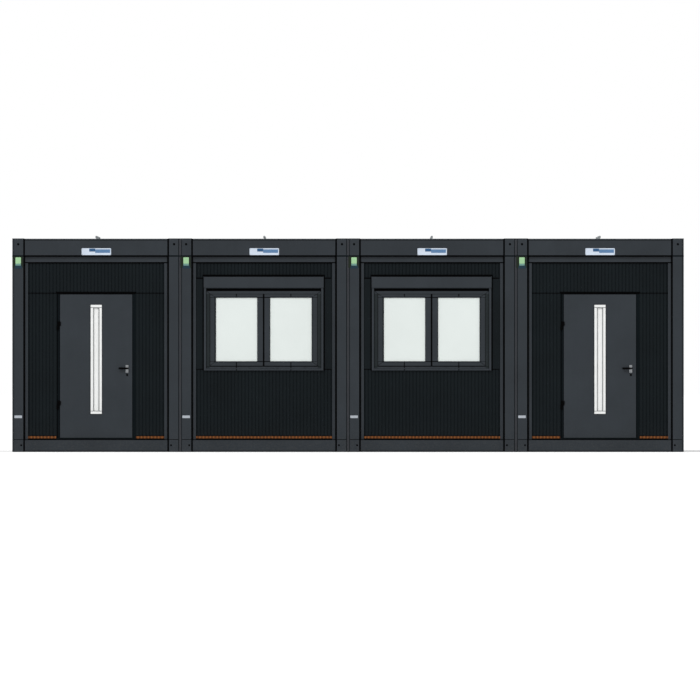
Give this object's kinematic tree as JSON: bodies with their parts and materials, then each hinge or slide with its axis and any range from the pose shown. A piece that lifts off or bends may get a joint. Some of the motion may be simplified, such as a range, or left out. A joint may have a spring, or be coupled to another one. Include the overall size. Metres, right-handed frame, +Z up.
{
  "type": "portable site cabin",
  "caption": "Row of linked dark steel site cabins with ribbed wall panels, flush entrance doors with tall vision strips, and double casement windows under roller shutter boxes.",
  "frame": {"origin": "on the ground at the middle of the building's footprint", "axes": "+X along the front from left to right, +Y from the front to the rear, +Z up"},
  "size_m": [9.749, 6.061, 3.135],
  "materials": {
    "frame_paint": "satin anthracite paint",
    "panel_paint": "satin dark anthracite coil coating",
    "door_frame_paint": "satin black-grey paint",
    "brown_sole": "stained timber sole",
    "white_bezel": "white moulded glazing frame",
    "vision_glass": "obscured glazing",
    "window_glass": "insulating glazing",
    "black_hinge": "black coating",
    "black_lever": "black nylon",
    "lock_steel": "brushed",
    "seal_rubber": "black sealing strip",
    "floor_covering": "grey vinyl floor",
    "ceiling_board": "white faced board",
    "roof_steel": "galvanised sheet"
  },
  "bodies": {
    "building": {"base_end_beams": "frame_paint", "base_side_beams": "frame_paint", "bottom_corner_fittings": "frame_paint", "ceilings": "ceiling_board", "corner_posts": "frame_paint", "door_1_frame": "door_frame_paint", "door_1_frame_hinges": "black_hinge", "door_4_frame": "door_frame_paint", "door_4_frame_hinges": "black_hinge", "floor_decks": "floor_covering", "floor_undersheets": "roof_steel", "fork_pockets": "frame_paint", "front_wall_1": "panel_paint", "front_wall_2": "panel_paint", "front_wall_3": "panel_paint", "front_wall_4": "panel_paint", "header_strips": "frame_paint", "joint_seals": "seal_rubber", "rear_walls": "panel_paint", "roof_end_beams": "frame_paint", "roof_sheets": "roof_steel", "roof_side_beams": "frame_paint", "side_wall_left": "panel_paint", "side_wall_right": "panel_paint", "sole_strips": "brown_sole", "top_corner_fittings": "frame_paint", "wall_trims": "frame_paint", "window_2_frame": "frame_paint", "window_2_glass": "window_glass", "window_2_sashes": "frame_paint", "window_2_shutter_box": "frame_paint", "window_2_shutter_guides": "frame_paint", "window_2_shutter_slat": "door_frame_paint", "window_2_sill": "frame_paint", "window_3_frame": "frame_paint", "window_3_glass": "window_glass", "window_3_sashes": "frame_paint", "window_3_shutter_box": "frame_paint", "window_3_shutter_guides": "frame_paint", "window_3_shutter_slat": "door_frame_paint", "window_3_sill": "frame_paint"},
    "door_1": {"door_1_glass": "vision_glass", "door_1_glazing_bezel": "white_bezel", "door_1_leaf": "frame_paint", "door_1_leaf_hinges": "black_hinge", "door_1_lock_plates": "lock_steel"},
    "door_1_handle": {"door_1_lever": "black_lever"},
    "door_4": {"door_4_glass": "vision_glass", "door_4_glazing_bezel": "white_bezel", "door_4_leaf": "frame_paint", "door_4_leaf_hinges": "black_hinge", "door_4_lock_plates": "lock_steel"},
    "door_4_handle": {"door_4_lever": "black_lever"}
  },
  "joints": [
    {"name": "door_1_swing", "type": "hinge", "parent": "building", "child": "door_1", "pos_m": [-4.209, -2.9975, 1.257], "axis": [0, 0, -1], "range_deg": [0, 120]},
    {"name": "door_1_lever_press", "type": "hinge", "parent": "door_1", "child": "door_1_handle", "pos_m": [-3.209, -2.963, 1.213], "axis": [0, -1, 0], "range_deg": [0, 40], "stiffness_Nm_per_rad": 1.2},
    {"name": "door_4_swing", "type": "hinge", "parent": "building", "child": "door_4", "pos_m": [3.105, -2.9975, 1.257], "axis": [0, 0, -1], "range_deg": [0, 120]},
    {"name": "door_4_lever_press", "type": "hinge", "parent": "door_4", "child": "door_4_handle", "pos_m": [4.105, -2.963, 1.213], "axis": [0, -1, 0], "range_deg": [0, 40], "stiffness_Nm_per_rad": 1.2}
  ]
}
